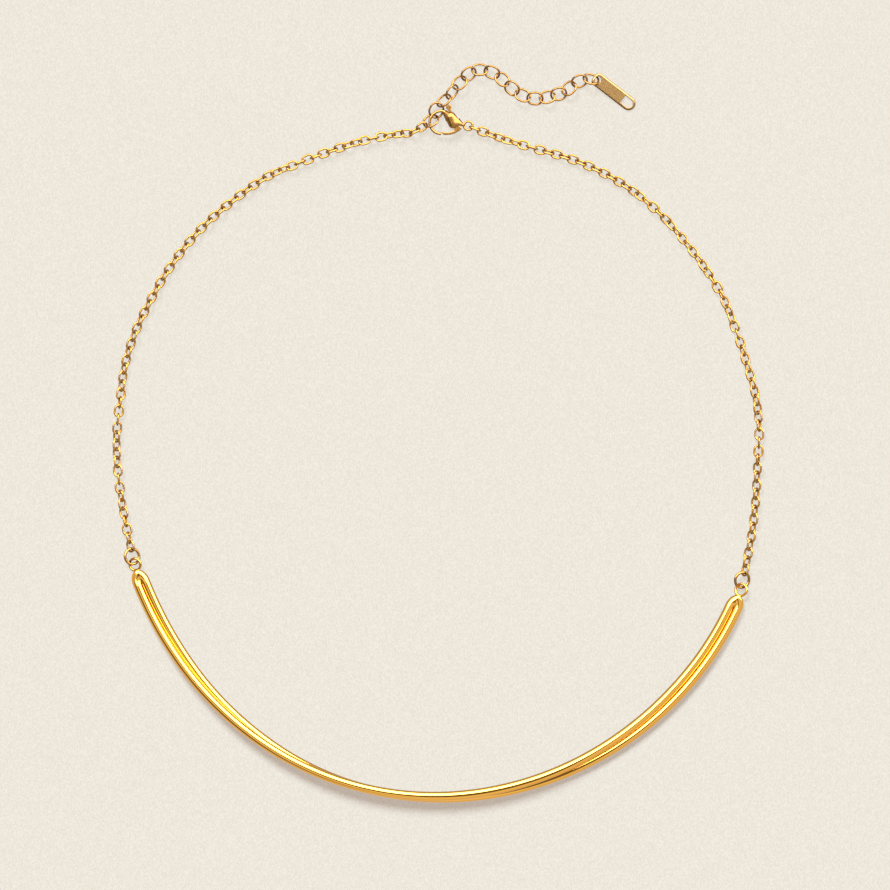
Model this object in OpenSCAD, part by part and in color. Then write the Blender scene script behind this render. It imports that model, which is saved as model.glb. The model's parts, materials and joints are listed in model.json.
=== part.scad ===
// Collar necklace laid flat: a bowed bar of two fused ridges that makes half
// a turn along its length, two runs of fine cable chain, a lobster clasp and
// an extender chain with a flat end tag. The surface it lies on is z = 0.

/* [Bar] */
// Thickness of one ridge of the bar
ridge_d = 1.82; // [1.5:0.02:2.2]
// Distance between the middles of the two ridges
ridge_gap = 1.72; // [1.3:0.02:1.78]
// Length of the rounded dome at each tip of the bar
dome_length = 2.6; // [1.8:0.1:3]
// Length over which the groove fades out before each tip
groove_fade = 2.6; // [2:0.1:5]

/* [Loops and jump rings] */
// Wire of the loop soldered to each tip of the bar
loop_wire = 0.52; // [0.4:0.02:0.6]
// Outer diameter of each soldered loop
loop_d = 2.9; // [2.8:0.05:3]
// Wire of the two jump rings
ring_wire = 0.55; // [0.45:0.05:0.6]
// Outer diameter of the two jump rings
ring_d = 3.65; // [3.5:0.05:3.8]
// Depth to which a loop sinks into the tip of the bar
solder_depth = 0.3; // [0.2:0.05:0.4]

/* [Cable chain] */
// Number of links in each run of chain
chain_links = 70; // [70:1:70]
// Wire of a chain link
chain_wire = 0.38; // [0.34:0.01:0.4]
// Outer width of a chain link
chain_link_w = 2; // [1.95:0.01:2.05]

/* [Extender] */
// Wire of an extender link
extender_wire = 0.36; // [0.32:0.01:0.38]
// Outer width of an extender link
extender_link_w = 3.05; // [3:0.01:3.05]
// Outer length of an extender link
extender_link_l = 3.45; // [3.42:0.01:3.5]

// Outer diameter of the ring that the clasp hooks into
hook_ring_d = 3.5; // [3.45:0.01:3.55]
// Wire of the ring that the clasp hooks into
hook_ring_wire = 0.4; // [0.36:0.01:0.42]

/* [Clasp] */
// Height of the middle of the clasp above the surface
clasp_z = 1.52; // [1.5:0.01:1.56]
// Outer diameter of the clasp's eye
eye_d = 2.2; // [2.1:0.05:2.3]
// Wire of the clasp's eye
eye_wire = 0.46; // [0.4:0.02:0.5]
// Radius of the middle line of the hook
hook_r = 2.27; // [2.25:0.01:2.3]
// Thickness of the hook seen from above
hook_w = 0.56; // [0.5:0.02:0.6]
// Height of the hook
hook_h = 0.82; // [0.76:0.02:0.86]
// Thickness of the lever plate
lever_h = 0.8; // [0.7:0.02:0.84]
// Diameter of the lever's pin
pin_d = 0.5; // [0.4:0.02:0.52]

/* [Tag] */
// Width of the tag
tag_w = 2.78; // [2.6:0.02:3]
// Thickness of the tag
tag_t = 0.5; // [0.4:0.05:0.55]
// Distance from the hole to the middle of the round end
tag_reach = 7.73; // [7:0.01:9]
// Diameter of the hole
tag_hole_d = 1.3; // [1.2:0.05:1.4]
// Width of the metal round the window
tag_rim = 0.52; // [0.45:0.01:0.6]

/* [Hidden] */
function link_name(i) = str("extender_link_", i < 10 ? "0" : "", i);

gold = [0.93, 0.71, 0.3];
gold_light = [0.97, 0.79, 0.4];
gold_deep = [0.85, 0.62, 0.25];

$fn = 32;
// Clear distance between pieces that hang in each other
clear = 0.1;
// A cutter reaches this far past the face that it cuts
past = 1;

// Middle of the bar's bow, seen from above
bow_mid = [0.8, -9.65];
// Bar stations: direction from bow_mid, radius of the bow, turn of the ridges
BAR = [
    // [angle, radius, turn]
    [196.45, 63.65, 0],
    [203, 63.3, 8],
    [212, 63.08, 25],
    [221, 63.1, 42],
    [231, 63.2, 57],
    [243, 63.42, 76],
    [254, 63.55, 90],
    [268, 63.45, 103],
    [282, 63.22, 117],
    [296, 63.08, 134],
    [308, 63.1, 156],
    [318, 63.22, 172],
    [328, 63.45, 180],
    [338.75, 63.7, 180]];

// Middle of the chain loop, seen from above
loop_mid = [0, -7.7];
// Routes of the two runs of chain: direction from loop_mid and radius
LEFT_ROUTE = [
    // [angle, radius]
    [186, 63.5], [180, 64], [174, 64.6], [168, 65], [162, 65.95], [156, 66.5],
    [150, 66.75], [144, 67.15], [138, 67.5], [132, 67.7], [126, 67.75],
    [120, 67.9], [114, 67.35], [108, 67.35], [102, 67.55], [97, 67.65],
    [94.7, 67.6], [93.3, 68.2]];
RIGHT_ROUTE = [
    // [angle, radius]
    [-11, 64], [-5, 63.8], [1, 63.9], [7, 64.7], [13, 65.2], [19, 65.3],
    [25, 65.8], [31, 66.6], [37, 66.95], [43, 67.3], [49, 67.85], [55, 68.1],
    [61, 68], [67, 67.65], [73, 67.15], [79, 67.5]];

// Lean of the links along each run. A link's roll is this lean, with a
// quarter turn added for each link before it
LEFT_LEAN = [
    // [link, lean]
    [1, 50], [3, 90], [7, 28], [9, 0], [11, -34], [14, -50], [16, -88],
    [17, -88], [20, -54], [30, -62], [51, -62], [55, -3], [60, 24], [62, 50],
    [64, 88], [69, 24], [70, 32]];
RIGHT_LEAN = [
    // [link, lean]
    [1, 40], [3, 58], [13, 58], [15, 90], [16, 90], [18, 68], [20, 34],
    [28, 20], [31, -42], [33, -60], [36, -108], [38, -150], [43, -158],
    [47, -90], [50, -35], [52, -24], [61, -22], [70, 84]];

// Joints of the extender, from the hook ring to the tag: where each link
// meets the next one, and the roll of the link that ends there
EXTENDER = [
    // [x, y, z, roll]
    [0.15, 65.35, 1.1, 12],
    [2.2, 66.95, 1.3, -48],
    [3.45, 68.75, 1.2, 50],
    [5.2, 70.65, 0.85, -30],
    [7.05, 72.3, 1.05, 33],
    [9.6, 72.35, 1, -35],
    [11.95, 71.25, 0.92, 33],
    [13.8, 69.5, 0.92, -31],
    [15.75, 67.75, 0.9, 31],
    [18.1, 66.65, 0.9, -31],
    [20.65, 66.5, 0.86, 31],
    [23.05, 67.2, 0.86, -29],
    [25.2, 67.75, 0.86, 30],
    [27.15, 69.45, 0.95, -29],
    [29.4, 70.6, 1.4, 33],
    [31.75, 70.25, 0.95, -44]];

// Middle of the clasp's eye, and the way its axis points from hook to eye
eye_at = [6.06, 61.1];
clasp_turn = -6.5;
// Middle of the hook, in the clasp's own axes with the eye at the origin
hook_mid = [-5.5, 0.05];
// The hook runs from its shoulder round to its tip
hook_from = 78;
hook_to = 277;
// Balls that the clasp's body is drawn round: middle and radius
BODY_BALLS = [
    // [x, y, r]
    [-3.7, 1.33, 1.2],
    [-3.1, 0.1, 1.12],
    [-4.85, 2.05, 0.52],
    [-1.75, 0.28, 0.56],
    [-1.2, 0.1, 0.33]];
// The lever turns on its pin. Its outer edge is one curve, the gate at the
// hook's tip and the back near the eye, with a tab for the thumb above
pin_at = [-2.75, 0.3];
pin_l = 1.8;
pin_plate_d = 1.12;
lever_mid = [-4.6, 1.85];
lever_r = 3.95;
lever_band = 0.55;
lever_back = -36;
thumb_at = [-4.33, 3.24];
thumb_d = 1.1;
thumb_arm = 0.6;
// The gate meets the hook along a slanting line through this point, so that
// it can swing inwards. The line crosses the hook's wire between two ends
seam_at = [-5.05, -2.2];
seam_turn = 133;
seam_ends = [-1.3, 1.5];
slot_h = lever_h + 2 * clear;

// Roll of the jump rings and loops about the line of pull
ring_roll = 28;
loop_roll = -24;

// Middle of the tag's hole and the way the tag points
tag_at = [31.95, 70.35];
tag_turn = -37.6;
tag_tilt = 3.4;
// Metal past the middle of the hole, flat part of that end, and depth of the
// window's straight part
tag_near = 1;
tag_flat = 0.88;
tag_window = 1.45;

// Smooth curve through the rows of a table, as a function of column 0
function row_before(table, u, i = 0) =
    i >= len(table) - 2 || u < table[i + 1][0] ? i : row_before(table, u, i + 1);
function slope(table, i, c) =
    let (a = max(i - 1, 0), b = min(i + 1, len(table) - 1))
    (table[b][c] - table[a][c]) / (table[b][0] - table[a][0]);
function smooth(table, u, c) =
    let (i = row_before(table, u), p = table[i], q = table[i + 1],
         w = q[0] - p[0], t = (u - p[0]) / w)
    p[c] * (1 + 2 * t) * (1 - t) * (1 - t) + q[c] * t * t * (3 - 2 * t)
    + w * (slope(table, i, c) * t * (1 - t) * (1 - t)
           + slope(table, i + 1, c) * t * t * (t - 1));

function polar(mid, angle, r) = mid + r * [cos(angle), sin(angle)];

// Section of the bar with its two ridges side by side, as a ring of points.
// fade goes from 0, the full groove, to 1, a plain oval
ridge_points = 10;
ridge_r = ridge_d / 2;
groove_half = sqrt(pow(ridge_r, 2) - pow(ridge_gap / 2, 2));
wrap = 180 - acos(ridge_gap / ridge_d);
function bar_section(fade) = [
    for (side = [1, -1], i = [0:ridge_points - 1])
    let (a = wrap * (2 * i / ridge_points - 1), b = 180 * i / ridge_points - 90)
    side * ((1 - fade) * [ridge_gap / 2 + ridge_r * cos(a), ridge_r * sin(a)]
            + fade * [(ridge_gap / 2 + ridge_r) * cos(b), ridge_r * sin(b)])];

bar_start = BAR[0][0];
bar_end = BAR[len(BAR) - 1][0];
bar_r = BAR[0][1];
function arc_to_angle(length) = length / bar_r * 180 / PI;
// Angles of the rings of points: close together in the domes at the tips
dome_steps = [8, 24, 40, 56, 72, 90];
dome_angle = arc_to_angle(dome_length);
body_rings = 50;
bar_angles = concat(
    [for (u = dome_steps) bar_start + dome_angle * (1 - cos(u))],
    [for (i = [1:body_rings - 1])
        bar_start + dome_angle
        + (bar_end - bar_start - 2 * dome_angle) * i / body_rings],
    [for (i = [len(dome_steps) - 1:-1:0])
        bar_end - dome_angle * (1 - cos(dome_steps[i]))]);

// Distance from the nearer tip, along the bar
function from_tip(angle) =
    min(angle - bar_start, bar_end - angle) * PI / 180 * bar_r;
function dome_scale(angle) =
    let (d = min(from_tip(angle) / dome_length, 1)) sqrt(1 - pow(1 - d, 2));
function groove_loss(angle) = pow(max(1 - from_tip(angle) / groove_fade, 0), 2);
// The underside of the bar follows the surface that it lies on
function bar_z(angle) =
    ridge_r + ridge_gap / 2 * abs(sin(smooth(BAR, angle, 2)));
function bar_ring(angle) =
    let (turn = smooth(BAR, angle, 2), k = dome_scale(angle),
         mid = polar(bow_mid, angle, smooth(BAR, angle, 1)),
         out = [cos(angle), sin(angle)])
    [for (p = bar_section(groove_loss(angle)))
        let (across = k * (p[0] * cos(turn) - p[1] * sin(turn)),
             up = k * (p[0] * sin(turn) + p[1] * cos(turn)))
        [mid[0] + across * out[0], mid[1] + across * out[1], bar_z(angle) + up]];

// Tips of the bar and the way that each points, outwards
left_tip = polar(bow_mid, bar_start, bar_r);
right_tip = polar(bow_mid, bar_end, BAR[len(BAR) - 1][1]);
left_heading = bar_start - 90;
right_heading = bar_end - 270;
loop_r = (loop_d - loop_wire) / 2;
loop_reach = loop_d / 2 - solder_depth;
left_loop = polar(left_tip, left_heading, loop_reach);
right_loop = polar(right_tip, right_heading, loop_reach);

// Jump rings: the way and the distance from each loop to its ring, and the
// way that the ring pulls the chain
ring_r = (ring_d - ring_wire) / 2;
ring_z = ring_wire / 2 + ring_r * sin(ring_roll);
left_way = 110;
left_reach = 1.7;
left_pull = 97;
right_way = 84;
right_reach = 2;
right_pull = 68;
left_ring = polar(left_loop, left_way, left_reach);
right_ring = polar(right_loop, right_way, right_reach);

// A crossing lies this far inside the middle of a wire that is looped over
function inset(wire) = (wire + clear) / 2;
function lift(p, z) = [p[0], p[1], z];

// Height of a chain at rest, from the lean of its links. A link lies a hair
// above the surface, because its neighbours tip it
tip_lift = 0.04;
chain_bend = (chain_link_w - chain_wire) / 2;
function link_z(lean) =
    chain_wire / 2 + tip_lift + chain_bend * max(abs(sin(lean)), abs(cos(lean)));

// Points every half degree along a smooth curve through a route, each with
// the length of chain up to it
function route_points(start, route, end) =
    concat([start], [for (r = route) polar(loop_mid, r[0], r[1])], [end]);
function bend_point(points, i, t) =
    let (n = len(points) - 1, a = points[max(i - 1, 0)], b = points[i],
         c = points[i + 1], d = points[min(i + 2, n)])
    b + 0.5 * t * (c - a + t * (2 * a - 5 * b + 4 * c - d
        + t * (3 * (b - c) + d - a)));
curve_steps = 8;
function curve(points) = concat(
    [for (i = [0:len(points) - 2], k = [0:curve_steps - 1])
        bend_point(points, i, k / curve_steps)],
    [points[len(points) - 1]]);
function lengths(line) =
    [for (i = 0, s = 0; i < len(line);
          i = i + 1, s = i < len(line) ? s + norm(line[i] - line[i - 1]) : s) s];
// Crossings of the links, evenly spaced along a line
function crossings(line) =
    let (along = lengths(line), total = along[len(line) - 1],
         xs = [for (i = [0:len(line) - 1]) [along[i], line[i][0]]],
         ys = [for (i = [0:len(line) - 1]) [along[i], line[i][1]]])
    [for (k = [0:chain_links])
        let (s = total * k / chain_links) [lookup(s, xs), lookup(s, ys)]];

// Heights of the crossings: a run rises to what it hangs from at each end
rise_links = 3;
function blend(a, b, t) = a + (b - a) * min(max(t, 0), 1);
function run_z(lean, start_z, end_z, k) =
    let (rest = link_z(lookup(k + 0.5, lean)))
    blend(end_z, blend(start_z, rest, k / rise_links),
          (chain_links - k) / rise_links);
function run(start, route, end, lean) =
    let (flat = crossings(curve(route_points(start, route, end))))
    [for (k = [0:chain_links])
        lift(flat[k], run_z(lean, start[2], end[2], k))];

// The hook ring leans over the hook: its middle, and how far it is turned
// about X and then about Y
hook_ring_at = [-1.45, 62.1, 1.29];
hook_ring_lean = [-38, -25];
// Ways from its middle to the two chains that hang in it
hook_ring_extender = 75;
hook_ring_chain = 225;
hook_ring_pull = (hook_ring_d - hook_ring_wire) / 2 - inset(hook_ring_wire);
function about_x(p, a) =
    [p[0], p[1] * cos(a) - p[2] * sin(a), p[1] * sin(a) + p[2] * cos(a)];
function about_y(p, a) =
    [p[0] * cos(a) + p[2] * sin(a), p[1], p[2] * cos(a) - p[0] * sin(a)];
function hook_ring_point(way) =
    hook_ring_at + about_y(
        about_x(hook_ring_pull * [cos(way), sin(way), 0], hook_ring_lean[0]),
        hook_ring_lean[1]);
extender_joints = concat(
    [hook_ring_point(hook_ring_extender)], [for (row = EXTENDER) [row[0], row[1], row[2]]]);

function pull_point(at, r, wire, way, z) =
    lift(polar(at, way, r - inset(wire)), z);
eye_r = (eye_d - eye_wire) / 2;
eye_pull = -27;
left_start = pull_point(left_ring, ring_r, ring_wire, left_pull, ring_z);
right_start = pull_point(right_ring, ring_r, ring_wire, right_pull, ring_z);
left_end = hook_ring_point(hook_ring_chain);
right_end = pull_point(eye_at, eye_r, eye_wire, eye_pull, clasp_z);

left_run = run(left_start, LEFT_ROUTE, left_end, LEFT_LEAN);
right_run = run(right_start, RIGHT_ROUTE, right_end, RIGHT_LEAN);
// Longest step of a run decides the length of every link, in whole fiftieths
function steps(points) =
    [for (i = [1:len(points) - 1]) norm(points[i] - points[i - 1])];
chain_pitch = max(max(steps(left_run)), max(steps(right_run)));
chain_link_l = ceil(50 * (chain_pitch + 2 * chain_wire + clear)) / 50;

// Ring of round wire in the XY plane, longest along X
module oval_ring(length, width, wire) {
    bend = (width - wire) / 2;
    straight = length - width;
    for (side = [-1, 1]) {
        translate([side * straight / 2, 0, 0])
            rotate([0, 0, -90 * side])
                rotate_extrude(angle = 180)
                    translate([bend, 0]) circle(d = wire);
        translate([-straight / 2, side * bend, 0])
            rotate([0, 90, 0]) cylinder(h = straight, d = wire);
    }
}

module round_ring(d, wire) {
    rotate_extrude() translate([(d - wire) / 2, 0]) circle(d = wire);
}

// Link that reaches from one crossing to the next, rolled about that line
module link(a, b, roll, length, width, wire) {
    way = b - a;
    translate((a + b) / 2)
        rotate([0, -atan2(way[2], norm([way[0], way[1]])), atan2(way[1], way[0])])
            rotate([roll, 0, 0])
                oval_ring(length, width, wire);
}

module chain(points, lean) {
    for (k = [1:chain_links])
        link(points[k - 1], points[k], lookup(k, lean) + 90 * k,
             chain_link_l, chain_link_w, chain_wire);
}

module loop_at(at, z, heading) {
    translate([at[0], at[1], z])
        rotate([0, 0, heading]) rotate([loop_roll, 0, 0])
            round_ring(loop_d, loop_wire);
}

module bar() {
    rings = [for (a = bar_angles) bar_ring(a)];
    n = 2 * ridge_points;
    last = len(rings) - 1;
    points = [for (ring = rings) for (p = ring) p];
    walls = [for (i = [0:last - 1], k = [0:n - 1])
        let (m = (k + 1) % n)
        [i * n + k, i * n + m, (i + 1) * n + m, (i + 1) * n + k]];
    color(gold) union() {
        polyhedron(points, concat(
            [[for (k = [n - 1:-1:0]) k], [for (k = [0:n - 1]) last * n + k]],
            walls));
        loop_at(left_loop, bar_z(bar_start), left_heading);
        loop_at(right_loop, bar_z(bar_end), right_heading);
    }
}

module jump_ring(at, way) {
    color(gold_deep)
        translate([at[0], at[1], ring_z])
            rotate([0, 0, way]) rotate([ring_roll, 0, 0])
                round_ring(ring_d, ring_wire);
}

module chain_left() {
    color(gold_light) chain(left_run, LEFT_LEAN);
}

module chain_right() {
    color(gold_light) chain(right_run, RIGHT_LEAN);
}

module hook_ring() {
    color(gold) translate(hook_ring_at)
        rotate([hook_ring_lean[0], hook_ring_lean[1], 0])
            round_ring(hook_ring_d, hook_ring_wire);
}

module extender_link(i) {
    color(gold)
        link(extender_joints[i - 1], extender_joints[i], EXTENDER[i - 1][3],
             extender_link_l, extender_link_w, extender_wire);
}

// The clasp's own axes: the eye at the origin, the hook along -X
module in_clasp() {
    translate([eye_at[0], eye_at[1], clasp_z]) rotate([0, 0, clasp_turn]) children();
}

// Bar with round long edges, seen end on
module hook_section() {
    square([hook_w, hook_h - hook_w], center = true);
    for (side = [-1, 1])
        translate([0, side * (hook_h - hook_w) / 2]) circle(d = hook_w);
}

module hook() {
    translate(hook_mid)
        rotate([0, 0, hook_from])
            rotate_extrude(angle = hook_to - hook_from)
                translate([hook_r, 0]) hook_section();
}

// Room in which the lever turns, between the two cheeks of the body. The
// shoulder of the hook and the neck of the eye stay solid on either side of it
module lever_slot() {
    below_seam = polar(seam_at, seam_turn, seam_ends[0]);
    above_seam = polar(seam_at, seam_turn, seam_ends[1]);
    linear_extrude(height = slot_h, center = true)
        polygon([[-5.1, 4], [-5.1, 2.62], [-4.5, 2.62], [-3.45, 0.7], [-6.1, -0.3],
                 above_seam, below_seam, [-1, -3], [-1.3, -0.24], [-1.65, -0.2],
                 [-2.07, 0.1], [-2.07, 4]]);
}

module clasp_body() {
    color(gold) in_clasp() {
        round_ring(eye_d, eye_wire);
        difference() {
            union() {
                hull() for (ball = BODY_BALLS)
                    translate([ball[0], ball[1], 0]) sphere(r = ball[2], $fn = 24);
                hook();
            }
            lever_slot();
        }
        translate(pin_at) cylinder(h = pin_l, d = pin_d, center = true);
    }
}

// Half plane above the seam, a clear distance away from it
module inside_seam() {
    side = 3 * lever_r;
    translate(seam_at) rotate(seam_turn)
        translate([-side / 2, -side - clear]) square(side);
}

module lever_outline() {
    back = polar(lever_mid, lever_back, lever_r + 1);
    intersection() {
        difference() {
            translate(lever_mid) circle(r = lever_r + lever_band / 2);
            translate(lever_mid) circle(r = lever_r - lever_band / 2);
        }
        polygon([lever_mid, [-6.5, -1], [-6.5, -3], [-2, -4], back]);
        inside_seam();
    }
    // Web from the pin to the back of the lever
    polygon([[-3.2, 0.1], [-2.6, -1.45], [-1.9, -0.9], [-1.65, -0.35], [-2.2, 0.1],
             [-2.5, 0.75]]);
    translate(pin_at) circle(d = pin_plate_d);
    thumb_way = thumb_at - pin_at;
    translate(pin_at) rotate(atan2(thumb_way[1], thumb_way[0]))
        translate([0, -thumb_arm / 2]) square([norm(thumb_way), thumb_arm]);
    translate(thumb_at) circle(d = thumb_d);
}

module clasp_lever() {
    color(gold_light) in_clasp()
        difference() {
            linear_extrude(height = lever_h, center = true) lever_outline();
            translate(pin_at)
                cylinder(h = lever_h + 2 * past, d = pin_d + clear, center = true);
        }
}

// Outline of the tag with its hole at the origin and its round end along +X
module tag_outline() {
    corner = (tag_w - tag_flat) / 2;
    difference() {
        union() {
            translate([tag_reach, 0]) circle(d = tag_w);
            translate([corner - tag_near, -tag_w / 2])
                square([tag_reach + tag_near - corner, tag_w]);
            translate([-tag_near, -tag_flat / 2]) square([tag_near, tag_flat]);
            for (side = [-1, 1])
                translate([corner - tag_near, side * tag_flat / 2]) circle(r = corner);
        }
        circle(d = tag_hole_d);
        // Window with one straight side
        intersection() {
            union() {
                translate([tag_reach, 0]) circle(r = tag_w / 2 - tag_rim);
                translate([tag_reach - tag_window, tag_rim - tag_w / 2])
                    square([tag_window, tag_w - 2 * tag_rim]);
            }
            translate([tag_reach - tag_window, -tag_w / 2])
                square([tag_window + tag_w, tag_w]);
        }
    }
}

// The hole's end is lifted by the link that hangs in it
module tag() {
    color(gold_deep)
        translate([tag_at[0], tag_at[1], 0]) rotate([0, 0, tag_turn])
            translate([tag_reach + tag_w / 2, 0, 0]) rotate([0, tag_tilt, 0])
                translate([-tag_reach - tag_w / 2, 0, 0])
                    linear_extrude(height = tag_t) tag_outline();
}

bar();
jump_ring(left_ring, left_pull);  // jump_ring_left
jump_ring(right_ring, right_pull);  // jump_ring_right
chain_left();
chain_right();
clasp_body();
clasp_lever();
tag();
hook_ring();
for (i = [1:16])
    extender_link(i);
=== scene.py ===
"""Collar necklace laid flat on a pale surface: a polished gold bar of two twisted
ridges on fine cable chain, with a lobster clasp, an extender and a bare tag."""

import json
import math

import bmesh
import bpy
import numpy as np
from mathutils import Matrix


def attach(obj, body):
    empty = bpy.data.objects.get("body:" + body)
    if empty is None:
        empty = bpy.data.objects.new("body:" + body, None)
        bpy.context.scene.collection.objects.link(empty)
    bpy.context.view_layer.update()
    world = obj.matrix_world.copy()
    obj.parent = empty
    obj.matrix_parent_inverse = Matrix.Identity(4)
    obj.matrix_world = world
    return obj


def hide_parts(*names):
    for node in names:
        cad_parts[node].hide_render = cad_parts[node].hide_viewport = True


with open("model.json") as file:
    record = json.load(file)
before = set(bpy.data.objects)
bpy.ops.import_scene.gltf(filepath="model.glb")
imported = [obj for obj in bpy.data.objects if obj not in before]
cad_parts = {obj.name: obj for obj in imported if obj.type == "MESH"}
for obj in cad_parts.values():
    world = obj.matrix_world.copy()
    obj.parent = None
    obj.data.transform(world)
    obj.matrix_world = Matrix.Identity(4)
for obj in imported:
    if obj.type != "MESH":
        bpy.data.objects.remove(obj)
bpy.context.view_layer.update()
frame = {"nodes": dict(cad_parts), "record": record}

MM = 0.001
TAU = 2 * math.pi
# Points of a CAD node nearer to each other than this, in metres, are one point
WELD = 1e-6

# Bar, in millimetres and degrees. The section and the stations are the solid's, and the
# groove and the tips are shaped here
RIDGE_D = 1.82
RIDGE_GAP = 1.72
DOME_LENGTH = 2.6
# Distances from a tip at which the groove, and the line of painted shade in it, start and are full
GROOVE_FADE = (0.7, 3.4)
CREASE_FADE = (2.1, 3.0)
# How full a tip is as seen from its side: 2 is an ellipse, and more is squarer
TIP_FULLNESS = 6
BOW_MID = (0.8, -9.65)
# Stations: direction from the bow's middle, radius of the bow, turn of the ridges
BAR = [
    (196.45, 63.65, 0),
    (203, 63.3, 8),
    (212, 63.08, 25),
    (221, 63.1, 42),
    (231, 63.2, 57),
    (243, 63.42, 76),
    (254, 63.55, 90),
    (268, 63.45, 103),
    (282, 63.22, 117),
    (296, 63.08, 134),
    (308, 63.1, 156),
    (318, 63.22, 172),
    (328, 63.45, 180),
    (338.75, 63.7, 180),
]
# Points round one ridge, rings between the tips, rings of each tip, and where up its
# dome the first of those lies
RIDGE_POINTS = 30
BODY_RINGS = 1000
DOME_RINGS = 16
DOME_START = 0.06

# Loops soldered to the tips of the bar
LOOP_WIRE = 0.52
LOOP_D = 2.9
LOOP_ROLL = -24
# How dark the loops are beside the line in the groove, and how deep they sit in the tips
LOOP_SHADE = 0.42
SOLDER_DEPTH = 0.3
LOOP_MESH = (72, 20)

# Wire pieces: outer length, outer width and wire, and steps round the piece and the wire
RING_SIZE = (3.65, 3.65, 0.55)
RING_MESH = (84, 20)
CHAIN_LINK = (2.63, 2.03, 0.41)
CHAIN_MESH = (44, 14)
EXTENDER_LINK = (3.49, 3.09, 0.4)
EXTENDER_MESH = (80, 18)
HOOK_RING = (3.5, 3.5, 0.4)
# Width and depth of the seam where a ring or link was bent shut
SEAM_WIDTH = 0.07
SEAM_DEPTH = 0.035

# Clasp, in its own axes: the eye at the origin and the hook along -X
CLASP_TURN = -6.5
PIN_AT = (-2.75, 0.3)
EYE_SIZE = (2.2, 2.2, 0.46)
EYE_MESH = (72, 24)
HOOK_MID = (-5.5, 0.05)
HOOK_R = 2.27
HOOK_W = 0.56
HOOK_H = 0.82
HOOK_SPAN = (78, 277)
HOOK_MESH = (120, 32)
# Balls that the body is drawn round: place and radius
BODY_BALLS = [
    (-3.7, 1.33, 1.2),
    (-3.1, 0.1, 1.12),
    (-4.85, 2.05, 0.52),
    (-1.75, 0.28, 0.56),
    (-1.2, 0.1, 0.33),
]
BALL_DETAIL = 5
PIN_D = 0.5
PIN_L = 1.8
# The lever's slot: its height and its outline
SLOT_H = 1.0
SLOT = [
    (-5.1, 4.0),
    (-5.1, 2.62),
    (-4.5, 2.62),
    (-3.45, 0.7),
    (-6.1, -0.3),
    (-6.07, -1.1),
    (-4.16, -3.15),
    (-1.0, -3.0),
    (-1.3, -0.24),
    (-1.65, -0.2),
    (-2.07, 0.1),
    (-2.07, 4.0),
]
# Voxels in millimetres and rounds of smoothing, for the body before and after its slot
# is cut, and for the lever
BODY_VOXEL = 0.045
SKIN_ROUNDS = 6
BODY_ROUNDS = 26
LEVER_VOXEL = 0.035
LEVER_ROUNDS = 24


def turn_z(degrees):
    c, s = math.cos(math.radians(degrees)), math.sin(math.radians(degrees))
    return np.array([[c, -s, 0], [s, c, 0], [0, 0, 1]])


def turn_x(degrees):
    c, s = math.cos(math.radians(degrees)), math.sin(math.radians(degrees))
    return np.array([[1, 0, 0], [0, c, -s], [0, s, c]])


def polar(mid, degrees, r):
    a = math.radians(degrees)
    return np.array([mid[0] + r * math.cos(a), mid[1] + r * math.sin(a)])


# Meshes


def grid_faces(rings, around, closed):
    """Quads that join each ring of points to the next one."""
    i, k = np.meshgrid(np.arange(rings if closed else rings - 1), np.arange(around), indexing="ij")
    j, m = (i + 1) % rings, (k + 1) % around
    quads = np.stack([i * around + k, i * around + m, j * around + m, j * around + k], -1)
    return quads.reshape(-1, 4)


class Shell:
    """Points and faces of one piece, in millimetres."""

    def __init__(self):
        self.points, self.faces, self.count = [], [], 0

    def add(self, points, faces):
        self.points.append(points)
        self.faces += [tuple(int(v) + self.count for v in face) for face in faces]
        self.count += len(points)
        return self

    def mesh(self, name, sharp=None):
        data = bpy.data.meshes.new(name)
        data.from_pydata((np.vstack(self.points) * MM).tolist(), [], self.faces)
        tidy(data, sharp)
        return data


def tidy(data, sharp=None):
    """Outward faces, smooth shading, and sharp edges above an angle in degrees."""
    bm = bmesh.new()
    bm.from_mesh(data)
    bmesh.ops.recalc_face_normals(bm, faces=bm.faces)
    bm.to_mesh(data)
    bm.free()
    data.polygons.foreach_set("use_smooth", [True] * len(data.polygons))
    if sharp:
        data.set_sharp_from_angle(angle=math.radians(sharp))
    data.update()


def piece(name, data, material, body, nodes=()):
    """An object that rides on a body, takes a material and hides the CAD nodes it stands for."""
    data.name = name
    data.materials.clear()
    data.materials.append(material)
    obj = bpy.data.objects.new(name, data)
    bpy.context.scene.collection.objects.link(obj)
    obj.visible_diffuse = False
    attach(obj, body)
    if nodes:
        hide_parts(*nodes)
    return obj


def applied(data, add_modifiers):
    """The mesh after the modifiers that add_modifiers puts on it."""
    obj = bpy.data.objects.new("work", data)
    bpy.context.scene.collection.objects.link(obj)
    add_modifiers(obj)
    depsgraph = bpy.context.evaluated_depsgraph_get()
    made = bpy.data.meshes.new_from_object(obj.evaluated_get(depsgraph))
    bpy.data.objects.remove(obj)
    return made


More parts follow.
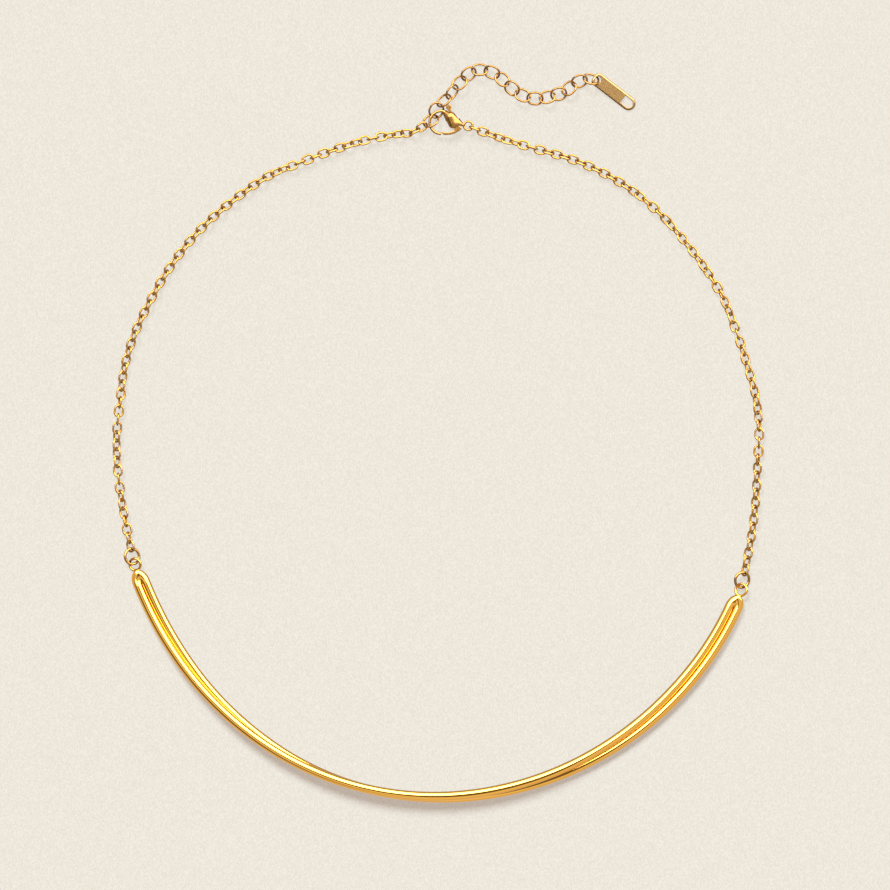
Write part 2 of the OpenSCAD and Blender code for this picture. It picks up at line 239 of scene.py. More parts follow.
def wire_oval(size, steps, sides, seam_at=None):
    """An oval of round wire in the XY plane, longest along X, as rings of points.
    seam_at is the share of the way round at which the wire's ends meet."""
    length, width, wire = size
    bend, half = (width - wire) / 2, (length - width) / 2
    around = TAU * bend + 4 * half
    s = np.linspace(0, around, steps, endpoint=False)
    if seam_at is not None:
        near = SEAM_WIDTH * np.array([-1, -0.5, -0.2, 0, 0.2, 0.5, 1])
        s = np.unique(np.round(np.r_[s, (seam_at * around + near) % around], 6) % around)
    quarter = math.pi / 2 * bend
    # The line starts at the middle of the +Y side and runs towards -X
    marks = np.cumsum([0, half, 2 * quarter, 2 * half, 2 * quarter, half])
    angles = np.radians([90, 90, 270, 270, 450, 450])
    angle = np.interp(s, marks, angles)
    shift = np.interp(s, marks, [0, -half, -half, half, half, 0])
    out = np.c_[np.cos(angle), np.sin(angle), 0 * angle]
    middle = out * bend
    middle[:, 0] += shift
    r = np.full(len(s), wire / 2)
    if seam_at is not None:
        off = np.abs((s - seam_at * around + around / 2) % around - around / 2)
        r -= SEAM_DEPTH * np.clip(1 - off / (SEAM_WIDTH / 2), 0, 1)
    t = np.linspace(0, TAU, sides, endpoint=False)
    up = np.array([0, 0, 1])
    rings = middle[:, None] + r[:, None, None] * (
        np.cos(t)[None, :, None] * out[:, None] + np.sin(t)[None, :, None] * up
    )
    return rings.reshape(-1, 3), grid_faces(len(s), sides, True)


def islands(node):
    """The loose solids of a CAD node: triangles of each one, in millimetres."""
    bm = bmesh.new()
    bm.from_mesh(frame["nodes"][node].data)
    bmesh.ops.remove_doubles(bm, verts=bm.verts, dist=WELD)
    bmesh.ops.triangulate(bm, faces=bm.faces)
    bm.faces.ensure_lookup_table()
    seen, found = set(), []
    for start in bm.faces:
        if start.index in seen:
            continue
        seen.add(start.index)
        stack, group = [start], []
        while stack:
            face = stack.pop()
            group.append([v.co[:] for v in face.verts])
            for edge in face.edges:
                for other in edge.link_faces:
                    if other.index not in seen:
                        seen.add(other.index)
                        stack.append(other)
        found.append(np.array(group) / MM)
    bm.free()
    return found


def place_of(triangles):
    """Middle and axes of a ring or link: longest, widest and thinnest."""
    mid = triangles.mean(1)
    area = np.linalg.norm(
        np.cross(triangles[:, 1] - triangles[:, 0], triangles[:, 2] - triangles[:, 0]), axis=1
    )
    centre = (mid * area[:, None]).sum(0) / area.sum()
    spread = (mid - centre).T @ ((mid - centre) * area[:, None])
    _, axes = np.linalg.eigh(spread)
    axes = axes[:, ::-1]
    if np.linalg.det(axes) < 0:
        axes[:, 2] *= -1
    return centre, axes


def wire_pieces(node, size, steps, sides, seam=False):
    """Fine round wire in the place of each loose solid of a node."""
    shell = Shell()
    for k, solid in enumerate(islands(node)):
        centre, axes = place_of(solid)
        points, faces = wire_oval(size, steps, sides, 0.5 * (k % 2) if seam else None)
        shell.add(points @ axes.T + centre, faces)
    return shell


# Bar


def smooth(table, u, column):
    """Smooth curve through a column of a table, as a function of column 0."""
    x = [row[0] for row in table]
    y = [row[column] for row in table]
    n = len(table)
    i = max(k for k in range(n - 1) if k == 0 or x[k] <= u)

    def slope(k):
        a, b = max(k - 1, 0), min(k + 1, n - 1)
        return (y[b] - y[a]) / (x[b] - x[a])

    w = x[i + 1] - x[i]
    t = (u - x[i]) / w
    return (
        y[i] * (1 + 2 * t) * (1 - t) ** 2
        + y[i + 1] * t * t * (3 - 2 * t)
        + w * (slope(i) * t * (1 - t) ** 2 + slope(i + 1) * t * t * (t - 1))
    )


def bar_section(fade):
    """Two ridges side by side. fade goes from 0, the full groove, to 1, a plain oval."""
    r, half = RIDGE_D / 2, RIDGE_GAP / 2
    wrap = math.pi - math.acos(RIDGE_GAP / RIDGE_D)
    share = np.arange(RIDGE_POINTS) / RIDGE_POINTS
    a, b = wrap * (2 * share - 1), math.pi * (share - 0.5)
    ridge = np.c_[half + r * np.cos(a), r * np.sin(a)]
    plain = np.c_[(half + r) * np.cos(b), r * np.sin(b)]
    side = (1 - fade) * ridge + fade * plain
    return np.r_[side, -side]


def grown(distance, fade):
    """Soft step from 0 at the first distance of a pair to 1 at the second."""
    share = min(max((distance - fade[0]) / (fade[1] - fade[0]), 0), 1)
    return share * share * (3 - 2 * share)


def bar_mesh():
    """The bar with its loops. Its attribute crease is how dark the gold is at a point:
    painted shade along the line in the groove, and a darker tint on the loops.
    """
    start, end, radius = BAR[0][0], BAR[-1][0], BAR[0][1]
    dome = math.degrees(DOME_LENGTH / radius)
    steps = np.linspace(DOME_START, 1, DOME_RINGS)
    inwards = dome * (1 - np.cos(steps * math.pi / 2))
    angles = np.r_[
        start + inwards,
        np.linspace(start + dome, end - dome, BODY_RINGS)[1:-1],
        end - inwards[::-1],
    ]
    rings, crease = [], []
    for angle in angles:
        from_tip = math.radians(min(angle - start, end - angle)) * radius
        left = 1 - min(from_tip / DOME_LENGTH, 1)
        scale, rise = math.sqrt(1 - left**2), (1 - left**TIP_FULLNESS) ** (1 / TIP_FULLNESS)
        turn = smooth(BAR, angle, 2)
        c, s = math.cos(math.radians(turn)), math.sin(math.radians(turn))
        p = bar_section(1 - grown(from_tip, GROOVE_FADE)) * [scale, rise]
        across, up = p[:, 0] * c - p[:, 1] * s, p[:, 0] * s + p[:, 1] * c
        mid = polar(BOW_MID, angle, smooth(BAR, angle, 1))
        out = polar((0, 0), angle, 1)
        z = RIDGE_D / 2 + RIDGE_GAP / 2 * abs(s)
        rings.append(np.c_[mid + across[:, None] * out, z + up])
        # Painted shade along the bottom of the groove, which fades in away from the tips
        dark = grown(from_tip, CREASE_FADE)
        crease.append([dark if k % RIDGE_POINTS == 0 else 0 for k in range(len(p))])
    around = 2 * RIDGE_POINTS
    shell = Shell()
    caps = [range(around), range((len(rings) - 1) * around, len(rings) * around)]
    faces = [tuple(q) for q in grid_faces(len(rings), around, False)]
    shell.add(np.vstack(rings), faces + [tuple(cap) for cap in caps])
    for angle, row, turn in ((start, BAR[0], start - 90), (end, BAR[-1], end - 270)):
        tip = polar(BOW_MID, angle, row[1])
        at = polar(tip, turn, LOOP_D / 2 - SOLDER_DEPTH)
        points, faces = wire_oval((LOOP_D, LOOP_D, LOOP_WIRE), *LOOP_MESH)
        axes = turn_z(turn) @ turn_x(LOOP_ROLL)
        shell.add(points @ axes.T + [at[0], at[1], RIDGE_D / 2], faces)
    data = shell.mesh("bar", 40)
    shade = np.full(shell.count, LOOP_SHADE)
    shade[: len(rings) * around] = np.ravel(crease)
    data.attributes.new("crease", "FLOAT", "POINT").data.foreach_set("value", shade)
    return data


# Clasp


def clasp_place():
    """Origin, in millimetres, and axes of the clasp, from the hinge of its lever."""
    hinge = np.array(frame["record"]["behaviour"]["joints"][0]["pos_m"]) / MM
    axes = turn_z(CLASP_TURN)
    return hinge - axes @ [PIN_AT[0], PIN_AT[1], 0], axes


def ball_hull():
    """Smooth skin drawn tight round the balls of the clasp's body."""
    bm = bmesh.new()
    for x, y, r in BODY_BALLS:
        made = bmesh.ops.create_icosphere(bm, subdivisions=BALL_DETAIL, radius=r)
        bmesh.ops.translate(bm, verts=made["verts"], vec=(x, y, 0))
    hull = bmesh.ops.convex_hull(bm, input=bm.verts)
    loose = [v for v in hull["geom_interior"] + hull["geom_unused"] if v.is_valid]
    bmesh.ops.delete(bm, geom=list(set(loose)), context="VERTS")
    bm.verts.ensure_lookup_table()
    points = np.array([v.co[:] for v in bm.verts])
    bm.verts.index_update()
    faces = [tuple(v.index for v in f.verts) for f in bm.faces]
    bm.free()
    return points, faces


def hook_tube():
    """The hook, a bar with round long edges bent round its middle."""
    n, around = HOOK_MESH
    angles = np.radians(np.linspace(HOOK_SPAN[0], HOOK_SPAN[1], n))
    t = np.linspace(0, TAU, around, endpoint=False)
    across = HOOK_W / 2 * np.cos(t)
    up = HOOK_W / 2 * np.sin(t) + np.sign(np.round(np.sin(t), 6)) * (HOOK_H - HOOK_W) / 2
    r = HOOK_R + across
    x, y = HOOK_MID
    rings = [np.c_[x + r * math.cos(a), y + r * math.sin(a), up] for a in angles]
    faces = [tuple(q) for q in grid_faces(n, around, False)]
    caps = [tuple(range(around)), tuple(range((n - 1) * around, n * around))]
    return np.vstack(rings), faces + caps


def prism(outline, height):
    """An outline raised to a height, half of it above z = 0."""
    n = len(outline)
    low = np.c_[np.array(outline), np.full(n, -height / 2)]
    high = np.c_[np.array(outline), np.full(n, height / 2)]
    walls = [(k, (k + 1) % n, n + (k + 1) % n, n + k) for k in range(n)]
    return np.vstack([low, high]), walls + [tuple(range(n)), tuple(range(n, 2 * n))]


def disc(at, d, length, sides=48):
    """A round pin along Z."""
    t = np.linspace(0, TAU, sides, endpoint=False)
    return prism(np.c_[at[0] + d / 2 * np.cos(t), at[1] + d / 2 * np.sin(t)], length)


def remesh(obj, voxel, rounds):
    """One even skin over all of a mesh, smoothed for some rounds."""
    grid = obj.modifiers.new("remesh", "REMESH")
    grid.mode = "VOXEL"
    grid.voxel_size = voxel * MM
    relax = obj.modifiers.new("relax", "SMOOTH")
    relax.factor = 0.5
    relax.iterations = rounds


def moved(data, centre, axes):
    """The mesh turned or stretched by axes and shifted by centre, in millimetres."""
    points = np.array([v.co[:] for v in data.vertices]) @ axes.T + np.array(centre) * MM
    data.vertices.foreach_set("co", points.ravel())
    data.update()
    return data


def clasp_body_mesh():
    skin = Shell().add(*ball_hull()).add(*hook_tube())
    slot = Shell().add(*prism(SLOT, SLOT_H))
    cutter = bpy.data.objects.new("slot", slot.mesh("slot"))
    bpy.context.scene.collection.objects.link(cutter)

    def merge_and_cut(obj):
        remesh(obj, BODY_VOXEL, SKIN_ROUNDS)
        cut = obj.modifiers.new("cut", "BOOLEAN")
        cut.operation = "DIFFERENCE"
        cut.object = cutter
        cut.solver = "EXACT"

    body = applied(skin.mesh("skin"), merge_and_cut)
    bpy.data.objects.remove(cutter)
    whole = Shell()
    whole.add(
        np.array([v.co[:] for v in body.vertices]) / MM, [tuple(p.vertices) for p in body.polygons]
    )
    whole.add(*wire_oval(EYE_SIZE, *EYE_MESH))
    whole.add(*disc(PIN_AT, PIN_D, PIN_L))
    made = applied(whole.mesh("whole"), lambda obj: remesh(obj, BODY_VOXEL, BODY_ROUNDS))
    origin, axes = clasp_place()
    moved(made, origin, axes)
    tidy(made)
    return made


def welded(node):
    """A copy of a CAD node's mesh with its points joined."""
    bm = bmesh.new()
    bm.from_mesh(frame["nodes"][node].data)
    bmesh.ops.remove_doubles(bm, verts=bm.verts, dist=WELD)
    data = bpy.data.meshes.new(node)
    bm.to_mesh(data)
    bm.free()
    data.materials.clear()
    return data


def lever_mesh():
    made = applied(welded("clasp_lever"), lambda obj: remesh(obj, LEVER_VOXEL, LEVER_ROUNDS))
    tidy(made)
    return made


# Soft chamfer of the tag: width at the outline of its face, at that of its back and at
# its window and hole, width over depth, and its steps and roundness
TAG_EDGE = 0.36
TAG_BACK_EDGE = 0.06
TAG_INNER_EDGE = 0.08
TAG_SLOPE = 2
TAG_STEPS = 6
TAG_PROFILE = 0.4
# Edges bent less than FLAT aren't edges, and those bent more than CORNER get the chamfer
TAG_FLAT = 1
TAG_CORNER = 50
# How far inside the outermost point an edge still belongs to the outline
TAG_OUTLINE = 0.02


def tag_mesh():
    """The tag's solid with a soft chamfer, wide at the outline of its upper face."""

    def round_edges(obj):
        bevel = obj.modifiers.new("bevel", "BEVEL")
        bevel.width = TAG_EDGE * MM
        bevel.segments = TAG_STEPS
        bevel.profile = TAG_PROFILE
        bevel.limit_method = "WEIGHT"
        bevel.use_clamp_overlap = False

    data = welded("tag")
    bm = bmesh.new()
    bm.from_mesh(data)
    flat = math.radians(TAG_FLAT)
    bmesh.ops.dissolve_limit(bm, angle_limit=flat, verts=bm.verts, edges=bm.edges)
    bm.normal_update()
    points = np.array([v.co[:] for v in bm.verts])
    cap = np.array(max(bm.faces, key=lambda f: f.normal.z * f.calc_area()).normal)
    middle_level = (points @ cap).mean()
    weight = bm.edges.layers.float.new("bevel_weight_edge")
    for edge in bm.edges:
        if edge.calc_face_angle() < math.radians(TAG_CORNER):
            continue
        wall = min(edge.link_faces, key=lambda f: abs(np.array(f.normal) @ cap))
        middle = (np.array(edge.verts[0].co) + np.array(edge.verts[1].co)) / 2
        out = np.array(wall.normal)
        outline = middle @ out > (points @ out).max() - TAG_OUTLINE * MM
        front = middle @ cap > middle_level
        width = (TAG_EDGE if front else TAG_BACK_EDGE) if outline else TAG_INNER_EDGE
        edge[weight] = width / TAG_EDGE
    for face in bm.faces:
        face.smooth = True
    bm.to_mesh(data)
    bm.free()
    # The tag is stretched across its thickness while its edges are cut
    stretch = np.eye(3) + (TAG_SLOPE - 1) * np.outer(cap, cap)
    cut = applied(moved(data, (0, 0, 0), stretch), round_edges)
    cut = moved(cut, (0, 0, 0), np.linalg.inv(stretch))

    def flatten(obj):
        obj.modifiers.new("flat", "WEIGHTED_NORMAL").keep_sharp = True

    return applied(cut, flatten)


# Materials

# Scale and detail of the gold's cloud of two tints, and of its fine texture
CLOUD = (260, 3)
FINE = (2600, 4)
# Roughness at the two ends of the fine texture, as shares of the middle one
ROUGH_SPREAD = (0.75, 1.25)
# Painted shade: what the gold is multiplied by on its dark flanks and in the line along the bar's
# groove
PAINTED_RIM_SHADE = (0.3, 0.2, 0.12)
PAINTED_CREASE_SHADE = (0.12, 0.05, 0.02)
# Painted shade on the flanks: how much darker they are, and the upward slopes between which they
# turn dark
WIRE_RIM = (0.7, 0.1, 0.8)
CLASP_RIM = (0.8, 0.1, 0.8)
TAG_RIM = (0.92, 0.8, 0.994)


def new_material(name):
    material = bpy.data.materials.new(name)
    material.use_nodes = True
    tree = material.node_tree
    shader = tree.nodes["Principled BSDF"]
    return material, tree, shader


def add(tree, kind, **values):
    node = tree.nodes.new(kind)
    for key, value in values.items():
        setattr(node, key, value)
    return node


def gold(name, colour, deep, rough, grain, rim=None, crease=False):
    """Gold plate. colour and deep are mixed by a soft cloud, roughness varies a little,
    and grain is the height in millimetres of a fine texture. rim is painted shade: how far
    the flanks are darker than the top, and between which upward slopes of the surface this
    sets in. crease is for the bar, with painted shade as a dark line along its groove and a
    darker tint on its loops."""
    material, tree, shader = new_material(name)
    place = add(tree, "ShaderNodeTexCoord")
    cloud = add(tree, "ShaderNodeTexNoise")
    cloud.inputs["Scale"].default_value = CLOUD[0]
    cloud.inputs["Detail"].default_value = CLOUD[1]
    tree.links.new(place.outputs["Object"], cloud.inputs["Vector"])
    tint = add(tree, "ShaderNodeMix", data_type="RGBA")
    tint.inputs["A"].default_value = (*colour, 1)
    tint.inputs["B"].default_value = (*deep, 1)
    tree.links.new(cloud.outputs["Fac"], tint.inputs["Factor"])
    result = tint.outputs["Result"]

    def darker(share, base, shade):
        """base, multiplied by shade in the share that a mask covers."""
        mix = add(tree, "ShaderNodeMix", data_type="RGBA", blend_type="MULTIPLY")
        tree.links.new(share, mix.inputs["Factor"])
        tree.links.new(base, mix.inputs["A"])
        mix.inputs["B"].default_value = (*shade, 1)
        return mix.outputs["Result"]

    # Painted shade: flanks that face less upward are darkened
    if rim:
        split = add(tree, "ShaderNodeSeparateXYZ")
        tree.links.new(place.outputs["Normal"], split.inputs["Vector"])
        low = add(tree, "ShaderNodeMapRange", interpolation_type="SMOOTHSTEP")
        low.inputs["From Min"].default_value = rim[1]
        low.inputs["From Max"].default_value = rim[2]
        low.inputs["To Min"].default_value = rim[0]
        low.inputs["To Max"].default_value = 0
        tree.links.new(split.outputs["Z"], low.inputs["Value"])
        result = darker(low.outputs["Result"], result, PAINTED_RIM_SHADE)
    # Painted shade along the bar's groove, and a darker tint on its loops
    if crease:
        line = add(tree, "ShaderNodeAttribute", attribute_name="crease")
        result = darker(line.outputs["Fac"], result, PAINTED_CREASE_SHADE)
    tree.links.new(result, shader.inputs["Base Color"])
    fine = add(tree, "ShaderNodeTexNoise")
    fine.inputs["Scale"].default_value = FINE[0]
    fine.inputs["Detail"].default_value = FINE[1]
    tree.links.new(place.outputs["Object"], fine.inputs["Vector"])
    spread = add(tree, "ShaderNodeMapRange")
    spread.inputs["To Min"].default_value = rough * ROUGH_SPREAD[0]
    spread.inputs["To Max"].default_value = rough * ROUGH_SPREAD[1]
    tree.links.new(fine.outputs["Fac"], spread.inputs["Value"])
    tree.links.new(spread.outputs["Result"], shader.inputs["Roughness"])
    bump = add(tree, "ShaderNodeBump")
    bump.inputs["Strength"].default_value = 1
    bump.inputs["Distance"].default_value = grain * MM
    tree.links.new(fine.outputs["Fac"], bump.inputs["Height"])
    tree.links.new(bump.outputs["Normal"], shader.inputs["Normal"])
    shader.inputs["Metallic"].default_value = 1
    return material


# Room: light, floor and camera

# Colour of the pale surface in the light, and the part of it that shadows keep
SURFACE = (0.856, 0.807, 0.717)
SHADOW = (0.515, 0.435, 0.367)
# Between these two places in millimetres the shadows fade northwards to this share
SHADE_FULL = -48
SHADE_FAINT = -26
SHADE_LEFT = 0.33
# The sun that casts them, in degrees: how broad it is, and how far it leans and turns
KEY_SPREAD = 24
KEY_TILT = 42
KEY_TURN = 20
# Size of the paper's grain in millimetres, and how far it varies in each channel
GRAIN = 0.2
GRAIN_DEPTH = (0.066, 0.072, 0.088)
# What the metal mirrors is drawn on a ceiling. Places on it are in heights of the
# ceiling, east and north of the point overhead, and a pair of places is a soft edge.
# HORIZON is the least slope of a direction that still counts as upward.
HORIZON = 0.02
# An even tent, dimmer at its east and west sides
TENT_TINT = (1.0, 0.97, 0.93)
TENT_LEVEL = 0.95
TENT_SIDE_LEVEL = 0.8
TENT_SIDE = (0.3, 1.2)
# A soft box: its near edge, which slants southwards in the west, the edge that ends it in
# the south, the middle and edge of its far round, and its slanting west edge
BOX_LEVEL = 10.0
BOX_NEAR = (0.18, 0.36)
BOX_NEAR_WEST = 0.8
BOX_SOUTH = (0, 0.05)
BOX_MID = (1.0, 0.6)
BOX_FAR = (2.5, 1.8)
BOX_WEST = (-0.45, 0.15)
BOX_SLANT = 1.8
# A dark gap overhead: middle, half its size, and its edge in shares of that
GAP_LEVEL = 0.13
GAP_MID = (0.02, 0.07)
GAP_REACH = (0.11, 0.3)
GAP_EDGE = (1.2, 0.8)
# Dark arms that run out from the gap: direction, start, end, half its width, level. The
# sides are soft over these shares of the half width, and the ends over this share of
# the far end
ARM_SIDE = (1.3, 0.7)
ARM_END = 0.12
ARMS = [
    (212, 1.0, 2.8, 0.45, 0.2),
    (218, 1.0, 4.5, 1.15, 0.12),
    (288, 0.0, 0.75, 0.13, 0.2),
]
# Share of the surface's light that the metal mirrors, beyond the bar and inside its bow,
# and the radii in millimetres between which it changes
MIRRORED_OUTSIDE = 0.9
MIRRORED_INSIDE = 0.6
MIRRORED_EDGE = (62, 64.5)
# Half the width of the floor, in metres
FLOOR_HALF = 3.0
# The photograph's frame: its width on the surface and its middle in millimetres, the
# camera's height and reach in metres, and its sensor's width in millimetres
VIEW_WIDTH = 178.0
VIEW_MID = (1.4, -2.7)
CAMERA_HEIGHT = 2.0
CAMERA_REACH = 20
SENSOR = 36


def floor_material():
    """Pale paper with a fine grain. The key lights it, apart from the share that shadows
    keep, which it gives out by itself."""
    material, tree, shader = new_material("pale_surface")
    place = add(tree, "ShaderNodeTexCoord")
    grain = add(tree, "ShaderNodeTexWhiteNoise", noise_dimensions="3D")
    cells = add(tree, "ShaderNodeVectorMath", operation="SCALE")
    cells.inputs["Scale"].default_value = 1 / (GRAIN * MM)
    whole = add(tree, "ShaderNodeVectorMath", operation="FLOOR")
    tree.links.new(place.outputs["Object"], cells.inputs[0])
    tree.links.new(cells.outputs[0], whole.inputs[0])
    tree.links.new(whole.outputs[0], grain.inputs["Vector"])

    def grained(colour):
        """The colour, lighter or darker by the paper's grain."""
        node = add(tree, "ShaderNodeVectorMath", operation="MULTIPLY_ADD")
        tree.links.new(grain.outputs["Value"], node.inputs[0])
        node.inputs[1].default_value = [2 * d * c for d, c in zip(GRAIN_DEPTH, colour)]
        node.inputs[2].default_value = [(1 - d) * c for d, c in zip(GRAIN_DEPTH, colour)]
        return node.outputs[0]

    # The key's share is less in the north, and what the paper gives out makes up for it
    lit = [a - b for a, b in zip(SURFACE, SHADOW)]
    split = add(tree, "ShaderNodeSeparateXYZ")
    tree.links.new(place.outputs["Object"], split.inputs["Vector"])
    depth = add(tree, "ShaderNodeMapRange")
    depth.inputs["From Min"].default_value = SHADE_FULL * MM
    depth.inputs["From Max"].default_value = SHADE_FAINT * MM
    depth.inputs["To Min"].default_value = 1
    depth.inputs["To Max"].default_value = SHADE_LEFT
    tree.links.new(split.outputs["Y"], depth.inputs["Value"])
    keyed = add(tree, "ShaderNodeVectorMath", operation="SCALE")
    tree.links.new(grained(lit), keyed.inputs[0])
    tree.links.new(depth.outputs["Result"], keyed.inputs["Scale"])
    kept = add(tree, "ShaderNodeVectorMath", operation="SUBTRACT")
    tree.links.new(grained(SURFACE), kept.inputs[0])
    tree.links.new(keyed.outputs[0], kept.inputs[1])
    tree.links.new(keyed.outputs[0], shader.inputs["Base Color"])
    tree.links.new(kept.outputs[0], shader.inputs["Emission Color"])
    shader.inputs["Emission Strength"].default_value = 1
    # What the metal mirrors of the surface is dimmer inside the bow of the bar
    reach = add(tree, "ShaderNodeVectorMath", operation="DISTANCE")
    tree.links.new(place.outputs["Object"], reach.inputs[0])
    reach.inputs[1].default_value = (BOW_MID[0] * MM, BOW_MID[1] * MM, 0)
    share = add(tree, "ShaderNodeMapRange")
    share.inputs["From Min"].default_value = MIRRORED_EDGE[0] * MM
    share.inputs["From Max"].default_value = MIRRORED_EDGE[1] * MM
    share.inputs["To Min"].default_value = MIRRORED_INSIDE
    share.inputs["To Max"].default_value = MIRRORED_OUTSIDE
    tree.links.new(reach.outputs["Value"], share.inputs["Value"])
    mirrored = add(tree, "ShaderNodeEmission")
    mirrored.inputs["Color"].default_value = (*SURFACE, 1)
    tree.links.new(share.outputs["Result"], mirrored.inputs["Strength"])
    path = add(tree, "ShaderNodeLightPath")
    mix = add(tree, "ShaderNodeMixShader")
    tree.links.new(path.outputs["Is Glossy Ray"], mix.inputs["Fac"])
    tree.links.new(shader.outputs[0], mix.inputs[1])
    tree.links.new(mirrored.outputs[0], mix.inputs[2])
    tree.links.new(mix.outputs[0], tree.nodes["Material Output"].inputs["Surface"])
    shader.inputs["Roughness"].default_value = 1
    shader.inputs["Specular IOR Level"].default_value = 0
    return material


def sky():
    """What the metal mirrors: an even pale tent, a broad soft box in the north east, and
    a dark gap overhead with arms to the south. It lights only the metal."""
    world = bpy.data.worlds.new("studio")
    bpy.context.scene.world = world
    world.use_nodes = True
    world.cycles_visibility.diffuse = False
    tree = world.node_tree
    tree.nodes.clear()
    place = add(tree, "ShaderNodeTexCoord")
    split = add(tree, "ShaderNodeSeparateXYZ")
    tree.links.new(place.outputs["Generated"], split.inputs["Vector"])

    def maths(kind, a, b=None, c=None):
        """A maths node on numbers or on what other nodes give."""
        node = add(tree, "ShaderNodeMath", operation=kind)
        for k, value in enumerate((a, b, c)):
            if value is None:
                continue
            if isinstance(value, (int, float)):
                node.inputs[k].default_value = value
            else:
                tree.links.new(value, node.inputs[k])
        return node.outputs[0]

    def step(value, low, high):
        """Soft step from 0 at low to 1 at high, whichever of them is larger."""
        node = add(tree, "ShaderNodeMapRange", interpolation_type="SMOOTHSTEP")
        node.inputs["From Min"].default_value = min(low, high)
        node.inputs["From Max"].default_value = max(low, high)
        if low > high:
            node.inputs["To Min"].default_value = 1
            node.inputs["To Max"].default_value = 0
        tree.links.new(value, node.inputs["Value"])
        return node.outputs["Result"]

    def blended(base, value, share):
        """base, with value in the share of it that the mask covers."""
        return maths("MULTIPLY_ADD", share, maths("SUBTRACT", value, base), base)

    def length(a, b):
        """How long the line is that goes a one way and b across it."""
        return maths("SQRT", maths("MULTIPLY_ADD", a, a, maths("MULTIPLY", b, b)))

    # Where the direction meets a ceiling one unit up
    height = maths("MAXIMUM", split.outputs["Z"], HORIZON)
    east = maths("DIVIDE", split.outputs["X"], height)
    north = maths("DIVIDE", split.outputs["Y"], height)
    side = step(maths("ABSOLUTE", east), *TENT_SIDE)
    level = maths("MULTIPLY_ADD", side, TENT_SIDE_LEVEL - TENT_LEVEL, TENT_LEVEL)
    for way, start, end, half, dark in ARMS:
        c, s = math.cos(math.radians(way)), math.sin(math.radians(way))
        along = maths("MULTIPLY_ADD", east, c, maths("MULTIPLY", north, s))
        across = maths("MULTIPLY_ADD", east, -s, maths("MULTIPLY", north, c))
        narrow = step(maths("ABSOLUTE", across), *(half * share for share in ARM_SIDE))
        soft = ARM_END * end
        inside = step(along, start - soft, start + soft)
        inside = maths("MULTIPLY", inside, step(along, end + soft, end - soft))
        level = blended(level, dark, maths("MULTIPLY", narrow, inside))
    near = maths("MULTIPLY_ADD", maths("MINIMUM", east, 0), -BOX_NEAR_WEST, north)
    reach = length(maths("SUBTRACT", east, BOX_MID[0]), maths("SUBTRACT", north, BOX_MID[1]))
    box = maths("MULTIPLY", step(near, *BOX_NEAR), step(reach, *BOX_FAR))
    box = maths("MULTIPLY", box, step(north, *BOX_SOUTH))
    west = maths("MULTIPLY_ADD", north, BOX_SLANT, east)
    box = maths("MULTIPLY", box, step(west, *BOX_WEST))
    level = blended(level, BOX_LEVEL, box)
    wide = maths("DIVIDE", maths("SUBTRACT", east, GAP_MID[0]), GAP_REACH[0])
    deep = maths("DIVIDE", maths("SUBTRACT", north, GAP_MID[1]), GAP_REACH[1])
    level = blended(level, GAP_LEVEL, step(length(wide, deep), *GAP_EDGE))
    colour = add(tree, "ShaderNodeCombineColor")
    for k, share in enumerate(TENT_TINT):
        tree.links.new(maths("MULTIPLY", level, share), colour.inputs[k])
    back = add(tree, "ShaderNodeBackground")
    tree.links.new(colour.outputs[0], back.inputs["Color"])
    plain = add(tree, "ShaderNodeBackground")
    plain.inputs["Color"].default_value = (*SURFACE, 1)
    path = add(tree, "ShaderNodeLightPath")
    mix = add(tree, "ShaderNodeMixShader")
    tree.links.new(path.outputs["Is Camera Ray"], mix.inputs["Fac"])
    tree.links.new(back.outputs[0], mix.inputs[1])
    tree.links.new(plain.outputs[0], mix.inputs[2])
    out = add(tree, "ShaderNodeOutputWorld")
    tree.links.new(mix.outputs[0], out.inputs["Surface"])


def key_light():
    """A soft sun from the far side, which lights the surface and casts the shadows."""
    data = bpy.data.lights.new("key", "SUN")
    data.energy = math.pi / math.cos(math.radians(KEY_TILT))
    data.angle = math.radians(KEY_SPREAD)
    data.cycles.use_multiple_importance_sampling = False
    obj = bpy.data.objects.new("key", data)
    obj.rotation_euler = (math.radians(-KEY_TILT), 0, math.radians(KEY_TURN))
    obj.visible_glossy = False
    bpy.context.scene.collection.objects.link(obj)


def floor():
    half = FLOOR_HALF
    data = bpy.data.meshes.new("floor")
    corners = [(-half, -half, 0), (half, -half, 0), (half, half, 0), (-half, half, 0)]
    data.from_pydata(corners, [], [(0, 1, 2, 3)])
    data.materials.append(floor_material())
    obj = bpy.data.objects.new("floor", data)
    bpy.context.scene.collection.objects.link(obj)


def camera():
    data = bpy.data.cameras.new("camera")
    data.sensor_width = SENSOR
    data.lens = data.sensor_width * CAMERA_HEIGHT / (VIEW_WIDTH * MM)
    data.clip_end = CAMERA_REACH
    obj = bpy.data.objects.new("camera", data)
    obj.location = (VIEW_MID[0] * MM, VIEW_MID[1] * MM, CAMERA_HEIGHT)
    bpy.context.scene.collection.objects.link(obj)
    bpy.context.scene.camera = obj


# Assembly

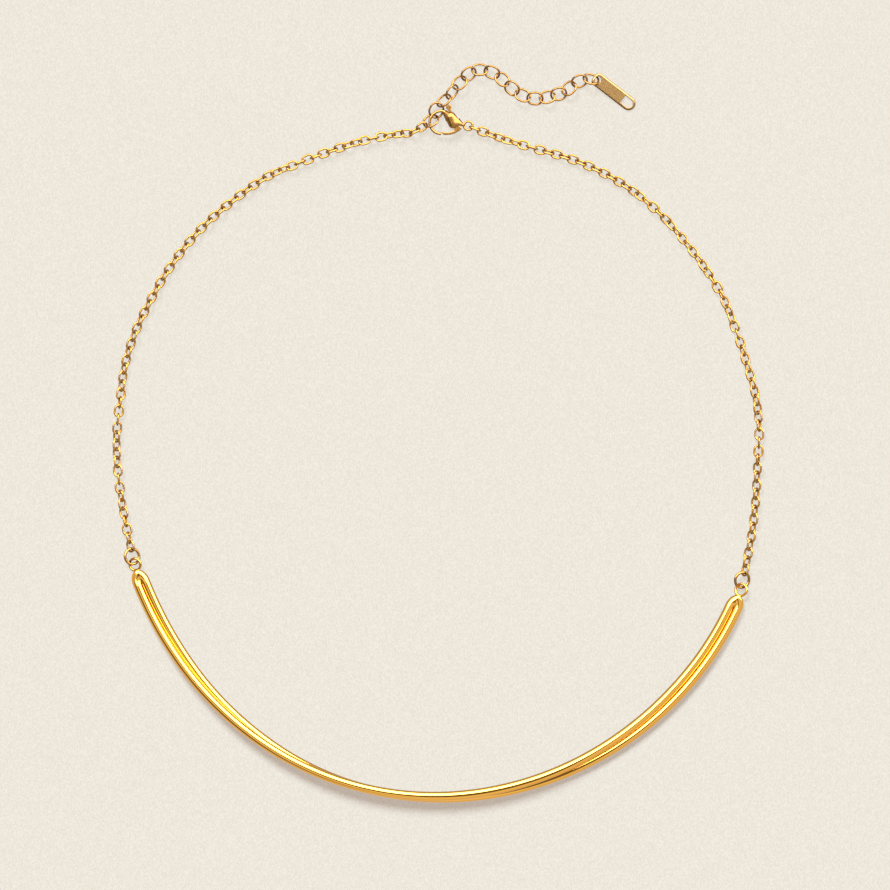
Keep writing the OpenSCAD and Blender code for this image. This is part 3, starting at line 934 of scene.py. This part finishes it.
# Tints, roughness and height of the grain of each finish
BAR_GOLD = gold("bar_gold", (0.93, 0.5, 0.1), (0.9, 0.46, 0.08), 0.055, 0.0001, crease=True)
RING_GOLD = gold("ring_gold", (0.425, 0.225, 0.054), (0.33, 0.165, 0.035), 0.18, 0.0002, WIRE_RIM)
CHAIN_GOLD = gold("chain_gold", (0.51, 0.27, 0.058), (0.38, 0.19, 0.037), 0.26, 0.0003, WIRE_RIM)
EXTENDER_TINTS = ((0.36, 0.178, 0.047), (0.265, 0.125, 0.027))
EXTENDER_GOLD = gold("extender_gold", *EXTENDER_TINTS, 0.24, 0.0003, WIRE_RIM)
CLASP_TINTS = ((0.39, 0.207, 0.061), (0.32, 0.165, 0.043))
CLASP_GOLD = gold("clasp_gold", *CLASP_TINTS, 0.27, 0.0001, CLASP_RIM)
LEVER_GOLD = gold("lever_gold", *CLASP_TINTS, 0.28, 0.0001, CLASP_RIM)
TAG_GOLD = gold("tag_gold", (0.39, 0.24, 0.098), (0.31, 0.187, 0.07), 0.33, 0.0001, TAG_RIM)

piece("twisted_bar", bar_mesh(), BAR_GOLD, "necklace", ["bar"])
for side in ("left", "right"):
    node = f"jump_ring_{side}"
    shell = wire_pieces(node, RING_SIZE, *RING_MESH, seam=True)
    piece(f"jump_ring_wire_{side}", shell.mesh(node), RING_GOLD, "necklace", [node])
    node = f"chain_{side}"
    shell = wire_pieces(node, CHAIN_LINK, *CHAIN_MESH)
    piece(f"cable_chain_{side}", shell.mesh(node), CHAIN_GOLD, "necklace", [node])
node = "hook_ring"
shell = wire_pieces(node, HOOK_RING, *RING_MESH, seam=True)
piece("hook_ring_wire", shell.mesh(node), EXTENDER_GOLD, "necklace", [node])
for node in sorted(n for n in frame["nodes"] if n.startswith("extender_link")):
    shell = wire_pieces(node, EXTENDER_LINK, *EXTENDER_MESH, seam=True)
    name = "extender_wire_" + node.split("_")[-1]
    piece(name, shell.mesh(node), EXTENDER_GOLD, "necklace", [node])
piece("lobster_body", clasp_body_mesh(), CLASP_GOLD, "necklace", ["clasp_body"])
piece("lobster_lever", lever_mesh(), LEVER_GOLD, "lever", ["clasp_lever"])
piece("end_tag", tag_mesh(), TAG_GOLD, "necklace", ["tag"])

floor()
sky()
key_light()
camera()
bpy.context.scene.view_settings.view_transform = "Standard"
